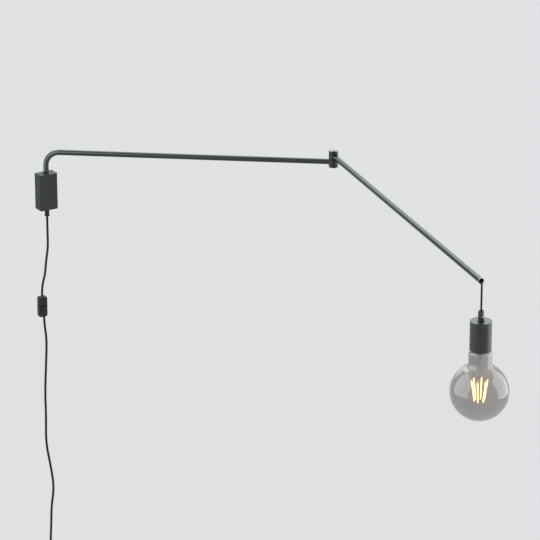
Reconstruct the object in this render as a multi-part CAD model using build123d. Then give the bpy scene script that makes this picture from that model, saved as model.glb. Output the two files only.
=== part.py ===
from build123d import *
import math
import os

# Articulating wall lamp. Millimetres. X points out of the wall, Y along it, Z up.
# The origin is the middle of the wall box's back, on the wall.

# ---- Arms: lengths between axes, heights of the tube centrelines, directions at rest ----
arm_1_length, arm_1_height, arm_1_angle = 500.0, 71.1, 53.56
arm_2_length, arm_2_height, arm_2_angle = 650.0, 81.5, -10.62
tube_radius, tube_bore, stub_bend = 4.75, 3.75, 24.0

# ---- Wall box ----
box_width, box_depth, box_height = 34.0, 21.0, 65.0
box_wall, box_end_wall, box_corner, box_edge = 2.0, 2.5, 2.8, 0.5
boss_radius, boss_height = 8.0, 8.0
plate_width, plate_height, plate_thickness, plate_corner = 29.6, 59.4, 2.0, 2.0
wall_hole_spacing, wall_hole_radius = 44.0, 2.25
tab_width, tab_reach, tab_thickness = 7.0, 9.0, 1.5
box_screw_y, box_screw_x, box_screw_radius, box_screw_length = 11.3, 7.0, 1.5, 6.0
box_screw_head_radius, box_screw_head_height, box_screw_hex = 2.7, 1.1, 2.0

# ---- Swivel in the top of the box ----
spigot_radius, spigot_bore, spigot_top, spigot_bottom = 3.75, 2.5, 46.0, 15.5
bush_radius, bush_bore, bush_bottom, bush_flange, bush_flange_height = 5.25, 3.8, 21.5, 6.3, 0.9
pivot_nut_flats, pivot_nut_height, pivot_washer_radius, pivot_washer_height = 10.0, 3.4, 5.6, 0.6
running_gap, edge_break = 0.3, 0.3

# ---- Terminal block and cores ----
block_depth, block_width, block_height, block_z, block_corner = 9.5, 15.0, 13.0, -3.0, 1.2
pole_spacing, pole_screw_rise, wire_way_radius, terminal_screw_radius = 7.5, 3.4, 1.5, 1.4
core_radius, core_side, core_bend, core_grip = 0.95, 1.0, 2.4, 4.0

# ---- Cord gland and wall cord ----
cord_radius, lead_radius = 2.0, 1.6
gland_radius, gland_neck, gland_flange, gland_flange_height = 4.3, 3.9, 5.2, 1.0
gland_clip, gland_clip_height, gland_tail = 5.4, 1.2, 2.9
gland_out, gland_in = 14.0, 9.0

# ---- Elbow ----
knuckle_radius, knuckle_reach, cavity_radius, cavity_half = 8.0, 9.4, 5.6, 4.4
knuckle_skin, knuckle_edge = 0.15, 0.5
pivot_screw_radius, pivot_screw_hole, pivot_screw_end = 2.0, 2.05, 7.4
cap_radius, cap_height, cap_groove, cap_groove_depth = 8.4, 1.8, 5.7, 0.7
cap_recess_radius, cap_recess_depth = 6.5, 1.0
screw_head_radius, screw_head_height, hex_flats, hex_depth = 4.3, 1.5, 4.0, 1.0
friction_washer_radius, wave_washer_radius, wave_washer_height = 7.6, 6.0, 0.5
lead_end_gap = 3.9

# ---- Tip of the outer arm and the pendant flex ----
tip_lip, tip_bore, tip_sleeve, tip_flange, tip_flange_width = 1.4, 3.2, 9.0, 4.95, 2.0
flex_radius, flex_gap, swing_drop, flex_sink = 1.6, 0.3, 8.0, 2.4

# ---- Lamp holder ----
holder_radius, holder_height, holder_wall, holder_top_wall = 17.5, 49.0, 1.2, 1.6
holder_top, holder_top_edge, holder_bottom_edge = 16.2, 0.7, 1.0
grip_radius, grip_height, grip_foot, grip_foot_height, grip_stem = 5.0, 17.0, 6.2, 1.6, 9.0
grip_thread, grip_mouth, grip_throat, grip_mouth_depth = 4.8, 3.6, 2.2, 4.6
grip_screw_radius, grip_screw_rise, grip_screw_turn = 1.5, 8.0, 30.0
grip_nut_flats, grip_nut_height = 14.0, 2.6
socket_radius, socket_bore, socket_lift, socket_core_way = 15.6, 14.2, 2.0, 1.3
shell_radius, shell_bore, shell_depth = 14.0, 13.5, 27.5
holder_core_spread = 18.0

# ---- Bulb ----
globe_radius, globe_drop, glass_wall = 47.5, 70.0, 0.9
neck_radius, neck_fillet, shoulder_drop, shoulder_lift = 18.8, 9.0, 4.5, 1.4
cap_thread_radius, cap_thread_depth, cap_thread_pitch, cap_thread_turns, cap_wall = 13.1, 0.8, 3.6, 5, 0.5
cap_skirt, cap_crown_radius, cap_length, contact_drop, contact_height = 3.4, 9.0, 26.5, 28.0, 1.2
stem_radius, stem_wall, stem_length, stem_pinch = 5.2, 0.9, 37.0, 7.0
exhaust_radius, exhaust_bore = 1.5, 0.9
filament_count, filament_radius, filament_top_ring, filament_bottom_ring = 6, 0.85, 13.0, 8.2
filament_top_rise, filament_bottom_drop, filament_turn = 18.0, 15.6, 12.6
wire_radius, wire_arch, post_radius, collar_radius, collar_half = 0.35, 1.2, 0.5, 1.05, 0.5

# ---- In-line switch: it hangs in the cord, in front of the wall ----
switch_width, switch_depth, switch_height, switch_corner, switch_edge = 16.0, 10.0, 38.0, 4.0, 1.6
switch_centre = (10.5, -13.4, -212.2)
switch_wall, switch_exit_shift, switch_post_inset = 1.4, 3.0, 5.5
switch_post_radius, switch_screw_radius, switch_screw_head = 2.2, 1.1, 1.9
rocker_radius, rocker_hole, rocker_drop, rocker_tilt, rocker_pivot = 5.0, 5.8, 3.0, 8.0, 2.2
rocker_proud, rocker_ridge, trunnion_radius, trunnion_hole, trunnion_half = 0.6, 0.7, 0.8, 0.85, 6.0

# ---- Cord routes: straight runs joined by tangent arcs. They run down the wall, 10.5 mm off it ----
upper_route = [
    (10.5, 0.0, -46.5), (10.5, 0.0, -78.0), (10.6, 0.3, -104.0), (10.3, -4.3, -131.0),
    (10.2, -6.2, -153.0), (10.5, -13.4, -175.0), (10.5, -13.4, -193.2),
]
lower_route = [
    (10.5, -10.4, -231.2), (10.5, -10.4, -246.0), (10.7, -6.4, -275.0), (10.6, -8.8, -322.0),
    (10.4, -12.0, -375.0), (10.6, -11.2, -425.0), (10.4, -12.8, -472.0), (10.2, -5.0, -515.0),
    (10.1, 1.8, -562.0), (9.2, -3.9, -598.0), (7.0, -4.3, -636.0), (5.0, -5.4, -672.0),
    (5.0, -5.4, -704.0),
]
smallest_bend = 3 * 2 * cord_radius

# ---- Coil, tie and plug ----
coil_pitch, coil_outer, layer_turns, layer_count, climb_turns = 5.15, 26.6, 1.625, 4, 0.5
coil_tail = 33.0
tie_thickness, tie_width, tie_gap, tie_corner = 1.2, 8.0, 0.6, 1.4
plug_width, plug_thickness, plug_length, plug_corner = 35.3, 13.7, 34.0, 5.0
plug_shoulder, plug_neck_width, plug_neck_thickness = 0.42, 15.0, 11.0
relief_length, relief_ribs, relief_rib_pitch, relief_rib_step, relief_radius = 15.0, 4, 3.2, 0.35, 2.6
pin_radius, pin_core, pin_length, pin_sleeve, pin_spacing, pin_root = 2.0, 1.5, 19.0, 10.0, 18.6, 8.0

UP = (Align.CENTER, Align.CENTER, Align.MIN)
nodes = {}


# ---- Small helpers ----
def rod(radius, bottom, top, x=0.0, y=0.0):
    """An upright cylinder between two heights."""
    return Pos(x, y, bottom) * Cylinder(radius, top - bottom, align=UP)


def pipe(outer, inner, bottom, top, x=0.0, y=0.0):
    """An upright tube between two heights."""
    return rod(outer, bottom, top, x, y) - rod(inner, bottom - 1, top + 1, x, y)


def block(low, high):
    """A box from its lowest to its highest corner."""
    size = [b - a for a, b in zip(low, high)]
    middle = [(a + b) / 2 for a, b in zip(low, high)]
    return Pos(*middle) * Box(*size)


def turned(points):
    """A turned piece about Z from the corners of its half section, given as (radius, height)."""
    outline = Polyline([(r, 0, z) for r, z in points], close=True)
    return revolve(make_face(outline.edges()), Axis.Z)


def polar(origin, angle, distance):
    """The point at a distance and a direction from another one, in the XY plane."""
    turn = math.radians(angle)
    return origin[0] + distance * math.cos(turn), origin[1] + distance * math.sin(turn)


def swept(route, radius, radii=None):
    """A round bar along a route of straight runs, joined by arcs where radii are given."""
    path = Polyline(route) if radii is None else FilletPolyline(route, radius=radii)
    start = Plane(origin=route[0], z_dir=Vector(*route[1]) - Vector(*route[0]))
    return sweep(start * Circle(radius), path=path)


def hexagon(flats, bottom, top, x=0.0, y=0.0):
    """A hexagonal prism of a width across its flats."""
    face = RegularPolygon(flats / math.sqrt(3), 6)
    return Pos(x, y, bottom) * extrude(face, amount=top - bottom)


# ---- Places worked out from the driving dimensions ----
box_top, box_bottom = box_height / 2, -box_height / 2
swivel = (box_depth / 2, 0.0)
elbow = polar(swivel, arm_1_angle, arm_1_length)
flex_reach = flex_radius + flex_gap + tip_lip
pendant = polar(elbow, arm_2_angle, arm_2_length - tip_lip + flex_reach)
arm_1_place = Location((*swivel, 0), (0, 0, arm_1_angle))
arm_2_place = Location((*elbow, 0), (0, 0, arm_2_angle))
pendant_place = Pos(*pendant, 0)
holder_bottom = holder_top - holder_height
grip_crown = holder_top + grip_height
socket_top = holder_top - holder_top_wall - grip_nut_height
socket_floor = holder_bottom + socket_lift + 0.5 + shell_depth
globe_z = holder_bottom - globe_drop
contact_z = holder_bottom + contact_drop
cap_rim = contact_z - cap_length
cap_seat = cap_rim + cap_skirt + cap_thread_pitch * cap_thread_turns + 2.0
glass_throat = cap_thread_radius - cap_thread_depth - cap_wall - 0.1
throat_top = cap_rim + 6.0
stem_end = holder_bottom - stem_length


# ---- Wall box: plate on the wall, cast cover over it, two screws from below ----
def wall_plate():
    half_w, half_h = plate_width / 2, plate_height / 2
    plate = block((0, -half_w, -half_h), (plate_thickness, half_w, half_h))
    plate = fillet(plate.edges().filter_by(Axis.X), plate_corner)
    for side in (-1, 1):
        y = side * box_screw_y
        front, top = plate_thickness + tab_reach, tab_thickness - half_h
        plate += block((0, y - tab_width / 2, -half_h), (front, y + tab_width / 2, top))
        plate -= rod(box_screw_radius, -half_h - 1, top + 1, box_screw_x, y)
        hole = Rot(0, 90, 0) * Cylinder(wall_hole_radius, 3 * plate_thickness)
        plate -= Pos(0, 0, side * wall_hole_spacing / 2) * hole
    nodes["wall_plate"] = plate


def box_cover():
    cover = block((0, -box_width / 2, box_bottom), (box_depth, box_width / 2, box_top))
    cover = fillet(cover.edges().filter_by(Axis.Z).sort_by(Axis.X)[-2:], box_corner)
    rims = [e for e in cover.edges() if e.center().X > box_edge and abs(e.center().Z) > box_top - 0.01]
    cover = fillet(rims, box_edge)
    inside, ceiling = box_width / 2 - box_wall, box_top - box_end_wall
    cover -= block((-1, -inside, -ceiling), (box_depth - box_wall, inside, ceiling))
    cover += rod(boss_radius, ceiling - boss_height, ceiling, *swivel)
    cover -= rod(bush_radius, 0, box_top + 1, *swivel)
    cover -= rod(gland_neck, box_bottom - 1, 1 - ceiling, *swivel)
    screws = []
    for side in (-1, 1):
        x, y = box_screw_x, side * box_screw_y
        sink = box_bottom + box_screw_head_height + 0.1
        cover -= rod(box_screw_radius + 0.1, box_bottom - 1, 1 - ceiling, x, y)
        cover -= rod(box_screw_head_radius + 0.1, box_bottom - 1, sink, x, y)
        screw = rod(box_screw_radius, sink, sink + box_screw_length, x, y)
        screw += rod(box_screw_head_radius, box_bottom + 0.1, sink, x, y)
        screw -= hexagon(box_screw_hex, box_bottom - 1, sink - 0.3, x, y)
        screws.append(screw)
    nodes["box_cover"] = cover
    nodes["box_screws"] = Compound(screws)


# ---- Swivel: flanged bush in the cover, hollow spigot in the tube, washer and nut below ----
def wall_swivel():
    crown = box_top + bush_flange_height
    bush = turned([
        (bush_bore, bush_bottom), (bush_radius, bush_bottom), (bush_radius, box_top),
        (bush_flange, box_top), (bush_flange, crown - edge_break), (bush_flange - edge_break, crown),
        (bush_bore, crown),
    ])
    nodes["swivel_bush"] = Pos(*swivel, 0) * bush
    nodes["swivel_spigot"] = pipe(spigot_radius, spigot_bore, spigot_bottom, spigot_top, *swivel)
    washer_top = bush_bottom - running_gap
    nut_top = washer_top - pivot_washer_height
    nodes["swivel_washer"] = pipe(pivot_washer_radius, spigot_radius, nut_top, washer_top, *swivel)
    nut = hexagon(pivot_nut_flats, nut_top - pivot_nut_height, nut_top, *swivel)
    nodes["swivel_nut"] = nut - rod(spigot_radius, 0, box_top, *swivel)


# ---- Terminals and the cores that they join ----
def terminals():
    front, low, high = plate_thickness + block_depth, block_z - block_height / 2, block_z + block_height / 2
    wire_x = plate_thickness + block_depth / 2
    body = block((plate_thickness, -block_width / 2, low), (front, block_width / 2, high))
    body = fillet(body.edges().filter_by(Axis.X), block_corner)
    screw_length = front - wire_x - wire_way_radius - 0.4
    slot = Box(0.6, 2 * terminal_screw_radius, 2.4)
    screws = []
    for y in (-pole_spacing / 2, pole_spacing / 2):
        body -= rod(wire_way_radius, low - 1, high + 1, wire_x, y)
        for z in (block_z - pole_screw_rise, block_z + pole_screw_rise):
            place = Pos(front, y, z) * Rot(0, -90, 0)
            body -= place * Cylinder(terminal_screw_radius, 2 * (screw_length + 1))
            screw = place * Pos(0, 0, 0.6) * Cylinder(terminal_screw_radius, screw_length, align=UP)
            screws.append(screw - place * slot)
    nodes["terminal_block"] = body
    nodes["terminal_screws"] = Compound(screws)

    # the feed comes up through the gland, the lamp's cores go up into the hollow spigot
    feed_end = box_bottom + box_end_wall + gland_in + 1.0
    nodes["feed_lead"] = rod(cord_radius, box_bottom - gland_out, feed_end, *swivel)
    feed, lamp = [], []
    for side in (-1, 1):
        pole, near = side * pole_spacing / 2, side * core_side
        feed.append(swept([
            (swivel[0], near, feed_end), (swivel[0], near, feed_end + 1.8),
            (wire_x, pole, low - 2.8), (wire_x, pole, low + core_grip),
        ], core_radius, [core_bend, core_bend]))
        lamp.append(swept([
            (wire_x, pole, high - core_grip), (wire_x, pole, high + 3.5),
            (swivel[0], near, spigot_bottom - 1.2),
        ], core_radius, [core_bend]))
    nodes["feed_cores"] = Compound(feed)
    nodes["lamp_cores"] = Compound(lamp)


# ---- Strain relief: snaps into the bottom of the cover, tapers to a round lip ----
def cord_gland():
    lip, inner = box_bottom - gland_out, box_bottom + box_end_wall
    bead = gland_radius + 0.1
    nodes["cord_gland"] = Pos(*swivel, 0) * turned([
        (cord_radius, inner + gland_in), (gland_tail, inner + gland_in), (gland_neck, inner + 4.0),
        (gland_neck, inner + gland_clip_height + 0.4), (gland_clip, inner + gland_clip_height),
        (gland_clip, inner), (gland_neck, inner), (gland_neck, box_bottom), (gland_flange, box_bottom),
        (gland_flange, box_bottom - gland_flange_height),
        (gland_radius, box_bottom - gland_flange_height - 0.4), (gland_radius - 0.25, lip + 3.0),
        (bead, lip + 2.2), (bead, lip + 1.0), (bead - 0.9, lip), (cord_radius, lip),
    ])


# ---- Inner arm: one bent tube from the swivel to the elbow, with its flex ----
def inner_arm():
    foot = box_top + bush_flange_height + running_gap
    route = [(0, 0, foot), (0, 0, arm_1_height), (arm_1_length - cavity_radius, 0, arm_1_height)]
    section = Plane(origin=route[0]) * (Circle(tube_radius) - Circle(tube_bore))
    nodes["arm_1_tube"] = arm_1_place * sweep(section, path=FilletPolyline(route, radius=stub_bend))
    lead_end = arm_1_length - lead_end_gap
    route = [(0, 0, spigot_bottom - 0.5), (0, 0, arm_1_height), (lead_end, 0, arm_1_height)]
    nodes["arm_1_lead"] = arm_1_place * swept(route, lead_radius, [stub_bend])


# ---- Elbow: two knuckles on one screw, friction washer between them, cap on top ----
def knuckle(height, bottom, top, opening, screw_hole, turn):
    """One half of the elbow: a closed cup whose tube comes in from one side."""
    body = rod(knuckle_radius, bottom, top)
    closed = body.edges().filter_by(GeomType.CIRCLE).sort_by(Axis.Z)[0 if opening > 0 else -1]
    body = fillet(closed, knuckle_edge)
    mouth = top + 1 if opening > 0 else bottom - 1
    body -= rod(cavity_radius, *sorted((height - opening * cavity_half, mouth)))
    body -= rod(*screw_hole)
    way = Pos(0, 0, height) * Rot(0, 90, 0) * Cylinder(tube_radius, knuckle_radius + 1, align=UP)
    return Pos(*elbow, 0) * Rot(0, 0, turn) * (body - way)


def elbow_joint():
    low_top = arm_1_height + tube_radius + knuckle_skin
    high_bottom = arm_2_height - tube_radius - knuckle_skin
    high_end = arm_2_height + knuckle_reach
    screw_foot = arm_1_height - pivot_screw_end
    nodes["elbow_lower"] = knuckle(
        arm_1_height, arm_1_height - knuckle_reach, low_top, 1,
        (pivot_screw_radius, screw_foot, low_top), arm_1_angle + 180)
    nodes["elbow_upper"] = knuckle(
        arm_2_height, high_bottom, high_end, -1,
        (pivot_screw_hole, high_bottom - 1, high_end + 1), arm_2_angle)
    nodes["elbow_friction_washer"] = pipe(
        friction_washer_radius, cavity_radius, low_top, high_bottom - running_gap, *elbow)

    under = high_end + running_gap
    top = under + cap_height
    seat = top - cap_groove_depth
    nodes["elbow_cap"] = Pos(*elbow, 0) * turned([
        (pivot_screw_radius, under + cap_recess_depth), (cap_recess_radius, under + cap_recess_depth),
        (cap_recess_radius, under), (cap_radius - edge_break, under), (cap_radius, under + edge_break),
        (cap_radius, top - 2 * edge_break), (cap_radius - 2 * edge_break, top), (cap_groove, top),
        (cap_groove, seat), (pivot_screw_radius, seat),
    ])
    nodes["elbow_wave_washer"] = pipe(
        wave_washer_radius, pivot_screw_radius + 0.3, under + 0.1, under + 0.1 + wave_washer_height, *elbow)
    crown, head = seat + screw_head_height, screw_head_radius
    screw = turned([
        (0, screw_foot + 0.5), (pivot_screw_radius, screw_foot + 0.5), (pivot_screw_radius, seat),
        (head, seat), (head, seat + 0.7), (head - 0.5, crown - edge_break), (head - 1.5, crown), (0, crown),
    ])
    nodes["elbow_screw"] = Pos(*elbow, 0) * (screw - hexagon(hex_flats, crown - hex_depth, crown + 1))


# ---- Outer arm: straight tube, its flex, and the rounded bush in its open end ----
def outer_arm():
    start = Plane(origin=(cavity_radius, 0, arm_2_height), z_dir=(1, 0, 0))
    tube = start * (Circle(tube_radius) - Circle(tube_bore))
    nodes["arm_2_tube"] = arm_2_place * extrude(tube, amount=arm_2_length - tip_flange_width - cavity_radius)

    # the bush, turned about X: a sleeve in the tube and a lip as round as its wall is thick
    lip_middle, half = tip_bore + tip_lip, tip_lip * math.sqrt(0.5)
    lip_start, lip_top = (-tip_lip, tip_bore), (half - tip_lip, lip_middle - half)
    outline = Polyline([
        (0, lip_middle), (-edge_break, tip_flange), (-tip_flange_width, tip_flange),
        (-tip_flange_width, tube_bore), (-tip_sleeve, tube_bore), (-tip_sleeve, tip_bore), lip_start,
    ]).edges()
    outline += ThreePointArc(lip_start, lip_top, (0, lip_middle)).edges()
    bush = revolve(make_face(outline), Axis.X)
    nodes["tip_bush"] = arm_2_place * Pos(arm_2_length, 0, arm_2_height) * bush

    # the flex drops to the floor of the bush over the last stretch and rolls over its lip
    low = arm_2_height - lip_middle + flex_reach
    over = arm_2_length - tip_lip + flex_reach
    foot = arm_2_height - swing_drop + lead_radius + 0.4
    drop_start, drop_end = arm_2_length - 60, arm_2_length - 20
    route = [
        (lead_end_gap, 0, arm_2_height), (drop_start, 0, arm_2_height), (drop_end, 0, low),
        (over, 0, low), (over, 0, foot),
    ]
    nodes["arm_2_lead"] = arm_2_place * swept(route, lead_radius, [300.0, 200.0, flex_reach])


# ---- Pendant flex, with a round end at each of its two hinge points ----
def pendant_flex():
    top, bottom = arm_2_height - swing_drop, grip_crown - flex_sink
    body = rod(flex_radius, bottom, top, *pendant)
    for height in (bottom, top):
        body += Pos(*pendant, height) * Sphere(flex_radius)
    nodes["pendant_flex"] = body


# ---- Lamp holder: cord grip, its screw and nut, shell, insulating body, thread and contact ----
def cord_grip():
    top = holder_top
    foot_top = top + grip_foot_height
    grip = turned([
        (0, top - grip_stem), (grip_thread, top - grip_stem), (grip_thread, top), (grip_foot, top),
        (grip_foot, foot_top - 0.4), (grip_foot - 0.4, foot_top), (grip_radius, foot_top),
        (grip_radius, grip_crown - 0.8), (grip_radius - 0.8, grip_crown), (grip_mouth, grip_crown),
        (grip_throat, grip_crown - grip_mouth_depth), (0, grip_crown - grip_mouth_depth),
    ])
    place = Pos(*pendant, top + grip_screw_rise) * Rot(0, 90, grip_screw_turn)
    nodes["cord_grip"] = pendant_place * grip - place * Cylinder(grip_screw_radius, grip_radius + 1, align=UP)
    screw = Cylinder(grip_screw_radius, 3.8, align=UP) - Pos(0, 0, 3.0) * Box(0.5, 3, 1.6)
    nodes["grip_screw"] = place * Pos(0, 0, 1.0) * screw
    nut_top = top - holder_top_wall
    nut = hexagon(grip_nut_flats, nut_top - grip_nut_height, nut_top, *pendant)
    nodes["grip_nut"] = nut - rod(grip_thread, nut_top - grip_nut_height - 1, top, *pendant)


def holder_shell():
    inner, ceiling = holder_radius - holder_wall, holder_top - holder_top_wall
    shell = turned([
        (0, holder_top), (holder_radius, holder_top), (holder_radius, holder_bottom),
        (inner, holder_bottom), (inner, ceiling), (0, ceiling),
    ])
    for height, radius in ((holder_top, holder_top_edge), (holder_bottom, holder_bottom_edge)):
        rims = shell.edges().filter_by(GeomType.CIRCLE)
        outer = [e for e in rims if e.radius > inner + 0.1 and abs(e.center().Z - height) < 0.1]
        shell = fillet(outer, radius)
    nodes["holder_shell"] = pendant_place * (shell - rod(grip_thread, ceiling - 1, holder_top + 1))


def socket():
    body_bottom, floor = holder_bottom + socket_lift, socket_floor
    body = turned([
        (0, floor), (socket_bore, floor), (socket_bore, body_bottom), (socket_radius, body_bottom),
        (socket_radius, floor + 3.5), (socket_radius - 3.0, socket_top), (0, socket_top),
    ])
    body -= rod(grip_thread, holder_top - grip_stem, holder_top)
    cores = []
    for side in (-1, 1):
        x = side * holder_core_spread / 2
        body -= rod(socket_core_way, floor - 1, socket_top + 1, x)
        cores.append(pendant_place * rod(core_radius, floor, socket_top, x))
    nodes["socket_body"] = pendant_place * body
    nodes["holder_cores"] = Compound(cores)
    nodes["socket_thread"] = pipe(shell_radius, shell_bore, floor - shell_depth + 0.8, floor, *pendant)
    sheet, sag = 0.8, 1.6
    nodes["socket_contact"] = pendant_place * turned([
        (0, floor - sag), (4.4, floor - sag), (5.6, floor),
        (4.8, floor), (4.0, floor - sheet), (0, floor - sheet),
    ])


# ---- Bulb cap: sheet thread in round waves, glass insulator, centre contact ----
def bulb_cap():
    steps = 8
    thread_foot = cap_rim + cap_skirt
    outside = [(cap_thread_radius, cap_rim)]
    for k in range(cap_thread_turns * steps + 1):
        dip = cap_thread_depth * (1 - math.cos(2 * math.pi * k / steps)) / 2
        outside.append((cap_thread_radius - dip, thread_foot + cap_thread_pitch * k / steps))
    thread_top = outside[-1][1]
    outside += [(cap_thread_radius - 1.6, thread_top + 1.2), (cap_crown_radius, cap_seat)]
    inside = [
        (cap_crown_radius, cap_seat - cap_wall), (cap_thread_radius - 2.0, thread_top),
        (glass_throat + 0.1, thread_foot), (cap_thread_radius - cap_wall, cap_rim),
    ]
    nodes["bulb_cap"] = pendant_place * turned(outside + inside)
    foot = contact_z - contact_height
    nodes["bulb_insulator"] = pendant_place * turned([
        (0, cap_seat - cap_wall), (cap_crown_radius, cap_seat - cap_wall), (cap_crown_radius, cap_seat),
        (5.2, foot), (0, foot),
    ])
    nodes["bulb_contact"] = pendant_place * turned([
        (0, foot), (5.0, foot), (4.6, contact_z - 0.5), (3.0, contact_z), (0, contact_z),
    ])


# ---- Bulb glass: globe and neck joined by a fillet, a shoulder under the cap, a throat inside it ----
def bulb_glass():
    # centre of the fillet's arc, and the direction from it to where it meets the globe
    joint_r = neck_radius + neck_fillet
    joint_z = globe_z + math.sqrt((globe_radius + neck_fillet) ** 2 - joint_r ** 2)
    toward_globe = math.atan2(globe_z - joint_z, -joint_r)
    between = (toward_globe + 3 * math.pi) / 2

    def outline(inset):
        """Outer or inner line of the glass, from the globe's lowest point to the throat's top."""
        globe, bend = globe_radius - inset, neck_fillet + inset
        neck, throat = neck_radius - inset, glass_throat - inset
        turn_in = cap_rim - shoulder_lift - inset
        diagonal = globe * math.sqrt(0.5)
        touch = (joint_r + bend * math.cos(toward_globe), 0, joint_z + bend * math.sin(toward_globe))
        middle = (joint_r + bend * math.cos(between), 0, joint_z + bend * math.sin(between))
        shoulder = holder_bottom - shoulder_drop
        return [
            ThreePointArc((0, 0, globe_z - globe), (diagonal, 0, globe_z - diagonal), (globe, 0, globe_z)),
            TangentArc((globe, 0, globe_z), touch, tangent=(0, 0, 1)),
            ThreePointArc(touch, middle, (neck, 0, joint_z)),
            Line((neck, 0, joint_z), (neck, 0, shoulder)),
            Bezier((neck, 0, shoulder), (neck, 0, turn_in), (throat, 0, turn_in), (throat, 0, cap_rim + 0.6)),
            Line((throat, 0, cap_rim + 0.6), (throat, 0, throat_top)),
        ]

    lines = outline(0.0) + outline(glass_wall)
    lines.append(Line((0, 0, globe_z - globe_radius), (0, 0, globe_z - globe_radius + glass_wall)))
    lines.append(Line((glass_throat, 0, throat_top), (glass_throat - glass_wall, 0, throat_top)))
    nodes["bulb_glass"] = pendant_place * revolve(make_face([e for l in lines for e in l.edges()]), Axis.Z)


# ---- Bulb stem: flared glass tube, sealed to the throat, pinched at its lower end ----
def bulb_stem():
    flare, top = glass_throat - glass_wall, holder_bottom + 1.0
    inner, tip = stem_radius - stem_wall, stem_end - stem_pinch
    nodes["bulb_stem"] = pendant_place * turned([
        (flare, throat_top), (flare, throat_top - stem_wall), (stem_radius, top), (stem_radius, stem_end),
        (stem_radius - 0.7, stem_end - 2.2), (1.2, tip), (0, tip), (0, tip + 2.4),
        (inner, stem_end - 1.0), (inner, top), (flare - 2.0, throat_top),
    ])
    nodes["exhaust_tube"] = pipe(exhaust_radius, exhaust_bore, stem_end - 3.0, holder_bottom + 14.0, *pendant)


# ---- Filament cage: slanted bars on bent wires, which are fused to two collars on a post ----
def filament_cage():
    top, bottom = globe_z + filament_top_rise, globe_z - filament_bottom_drop
    hub_top, hub_bottom = stem_end - stem_pinch - collar_half - 0.1, bottom - 2.6
    wire_end = collar_radius - 0.25
    bars, wires = [], []
    for k in range(filament_count):
        angle = math.radians(filament_turn + 360 * k / filament_count)

        def spot(radius, height):
            return radius * math.cos(angle), radius * math.sin(angle), height

        bar_ends = [spot(filament_top_ring, top), spot(filament_bottom_ring, bottom)]
        bars.append(swept(bar_ends, filament_radius))
        wires.append(swept([
            spot(wire_end, hub_top), spot(filament_top_ring + 0.3, hub_top + wire_arch),
            spot(filament_top_ring, top + 0.15),
        ], wire_radius, [1.6]))
        wires.append(swept([
            spot(filament_bottom_ring, bottom - 0.15), spot(filament_bottom_ring - 0.1, hub_bottom + 0.6),
            spot(wire_end, hub_bottom),
        ], wire_radius, [0.8]))
    cage = Compound(wires)
    post = rod(post_radius, hub_bottom, stem_end - stem_pinch)
    for height in (hub_bottom, hub_top):
        post += rod(collar_radius, height - collar_half, height + collar_half)
    nodes["filaments"] = pendant_place * Compound(bars)
    nodes["filament_wires"] = pendant_place * cage
    nodes["filament_post"] = pendant_place * (post - cage)


# ---- In-line switch: two shells and their screws ----
def switch_shells():
    w, d, h = switch_width / 2, switch_depth / 2, switch_height / 2
    posts = (-h + switch_post_inset, h - switch_post_inset)
    body = Box(switch_depth, switch_width, switch_height)
    body = fillet(body.edges().filter_by(Axis.X), switch_corner)
    body = fillet([e for e in body.edges() if abs(abs(e.center().X) - d) < 0.01], switch_edge)
    room = Box(*(side - 2 * switch_wall for side in (switch_depth, switch_width, switch_height - 1)))
    body -= fillet(room.edges().filter_by(Axis.X), switch_corner - switch_wall)
    body -= Pos(0, 0, h) * Cylinder(cord_radius, 8)
    body -= Pos(0, switch_exit_shift, -h) * Cylinder(cord_radius, 8)
    along_x = Rot(0, 90, 0)
    shank, head = Cylinder(switch_screw_radius, 7.4, align=UP), Cylinder(switch_screw_head, 1.0, align=UP)
    screw = along_x * (shank + head)
    screw -= Pos(0.2, 0, 0) * (Box(1.0, 0.6, 2.4) + Box(1.0, 2.4, 0.6))
    place = Pos(*switch_centre)
    screws = []
    for z in posts:
        body += Pos(0, 0, z) * along_x * Cylinder(switch_post_radius, switch_depth - 1.0)
        body -= Pos(-d, 0, z) * along_x * Cylinder(switch_screw_radius, 2 * switch_depth - 3.4)
        body -= Pos(-d, 0, z) * along_x * Cylinder(switch_screw_head + 0.1, 2.4)
        screws.append(place * Pos(0.15 - d, 0, z) * screw)
    window = Pos(0, 0, -rocker_drop) * along_x * Cylinder(rocker_hole, switch_depth, align=UP)
    nodes["switch_front"] = place * (body & block((0, -w, -h), (d, w, h))) - place * window
    nodes["switch_back"] = place * (body & block((-d, -w, -h), (0, w, h)))
    nodes["switch_screws"] = Compound(screws)


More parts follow.
